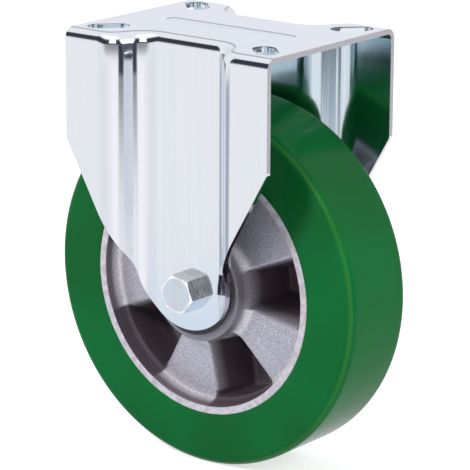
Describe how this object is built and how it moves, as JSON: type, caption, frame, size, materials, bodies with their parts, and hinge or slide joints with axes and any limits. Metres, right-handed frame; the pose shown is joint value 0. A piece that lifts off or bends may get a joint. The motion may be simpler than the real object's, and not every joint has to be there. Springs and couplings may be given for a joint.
{
  "type": "fixed castor",
  "caption": "Fixed castor: folded sheet bracket with slotted top plate, waved cheeks, and a ball bearing wheel with a green tyre on a cast aluminium centre.",
  "frame": {"origin": "centre of the mounting plate's top face", "axes": "+Z out of the plate's top face, away from the wheel; +X along the rolling direction; +Y along the axle from the bolt's head towards its nut"},
  "size_m": [0.2, 0.111, 0.2375],
  "materials": {
    "zinc_plated_sheet": "bright blue-white zinc plate on smooth rolled sheet",
    "green_polyurethane": "glossy cast polyurethane",
    "cast_aluminium": "fine-grained die casting with a turned bright rim",
    "zinc_plated_bolt": "bright zinc plate",
    "turned_steel": "turned",
    "bearing_steel": "ground and polished",
    "pressed_shield": "pressed sheet",
    "black_plastic": "moulded, slight sheen",
    "nylon": "smooth"
  },
  "bodies": {
    "bracket": {"fork_bracket": "zinc_plated_sheet", "axle_bolt": "zinc_plated_bolt", "nut_washer": "zinc_plated_bolt", "lock_nut": "zinc_plated_bolt", "nut_insert": "nylon", "axle_sleeve": "turned_steel", "bearing_spacer": "turned_steel", "near_side_bush": "turned_steel", "near_dust_cap": "black_plastic", "near_bearing_inner_ring": "bearing_steel", "far_side_bush": "turned_steel", "far_dust_cap": "black_plastic", "far_bearing_inner_ring": "bearing_steel"},
    "wheel": {"tyre": "green_polyurethane", "wheel_centre": "cast_aluminium", "near_bearing_outer_ring": "bearing_steel", "near_bearing_outer_shield": "pressed_shield", "near_bearing_inner_shield": "pressed_shield", "far_bearing_outer_ring": "bearing_steel", "far_bearing_outer_shield": "pressed_shield", "far_bearing_inner_shield": "pressed_shield"},
    "near_ball_set": {"near_bearing_balls": "bearing_steel", "near_bearing_cage": "bearing_steel"},
    "far_ball_set": {"far_bearing_balls": "bearing_steel", "far_bearing_cage": "bearing_steel"}
  },
  "joints": [
    {"name": "wheel_spin", "type": "hinge", "parent": "bracket", "child": "wheel", "pos_m": [0, 0, -0.1375], "axis": [0, 1, 0], "continuous": true},
    {"name": "near_ball_set_spin", "type": "hinge", "parent": "bracket", "child": "near_ball_set", "pos_m": [0, 0, -0.1375], "axis": [0, 1, 0], "continuous": true},
    {"name": "far_ball_set_spin", "type": "hinge", "parent": "bracket", "child": "far_ball_set", "pos_m": [0, 0, -0.1375], "axis": [0, 1, 0], "continuous": true}
  ],
  "couplings": [
    {"joint": "near_ball_set_spin", "follows": "wheel_spin", "ratio": 0.61848},
    {"joint": "far_ball_set_spin", "follows": "wheel_spin", "ratio": 0.61848}
  ]
}
